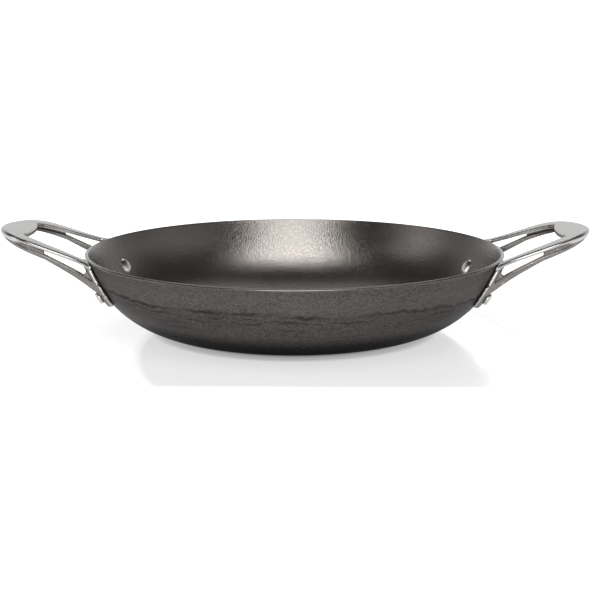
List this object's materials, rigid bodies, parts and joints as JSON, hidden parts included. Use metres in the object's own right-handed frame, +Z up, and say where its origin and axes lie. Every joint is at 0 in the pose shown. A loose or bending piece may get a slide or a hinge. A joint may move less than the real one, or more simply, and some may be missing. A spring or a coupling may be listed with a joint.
{
  "type": "two-handled serving pan",
  "caption": "Shallow round dark iron pan with curved walls and riveted skeleton loop handles, for frying and serving.",
  "frame": {"origin": "centre of the pan's flat base, on the table", "axes": "+Z up through the open rim, +X through the tip of the right handle, +Y to the rear"},
  "size_m": [0.4216, 0.2996, 0.0751],
  "materials": {
    "pan_iron": "satin, blued and textured",
    "handle_steel": "fine satin polish",
    "rivet_steel": "polished"
  },
  "bodies": {
    "root": {"pan_body": "pan_iron", "handle_left": "handle_steel", "handle_right": "handle_steel", "rivet_left_front": "rivet_steel", "rivet_left_rear": "rivet_steel", "rivet_right_front": "rivet_steel", "rivet_right_rear": "rivet_steel"}
  },
  "joints": []
}
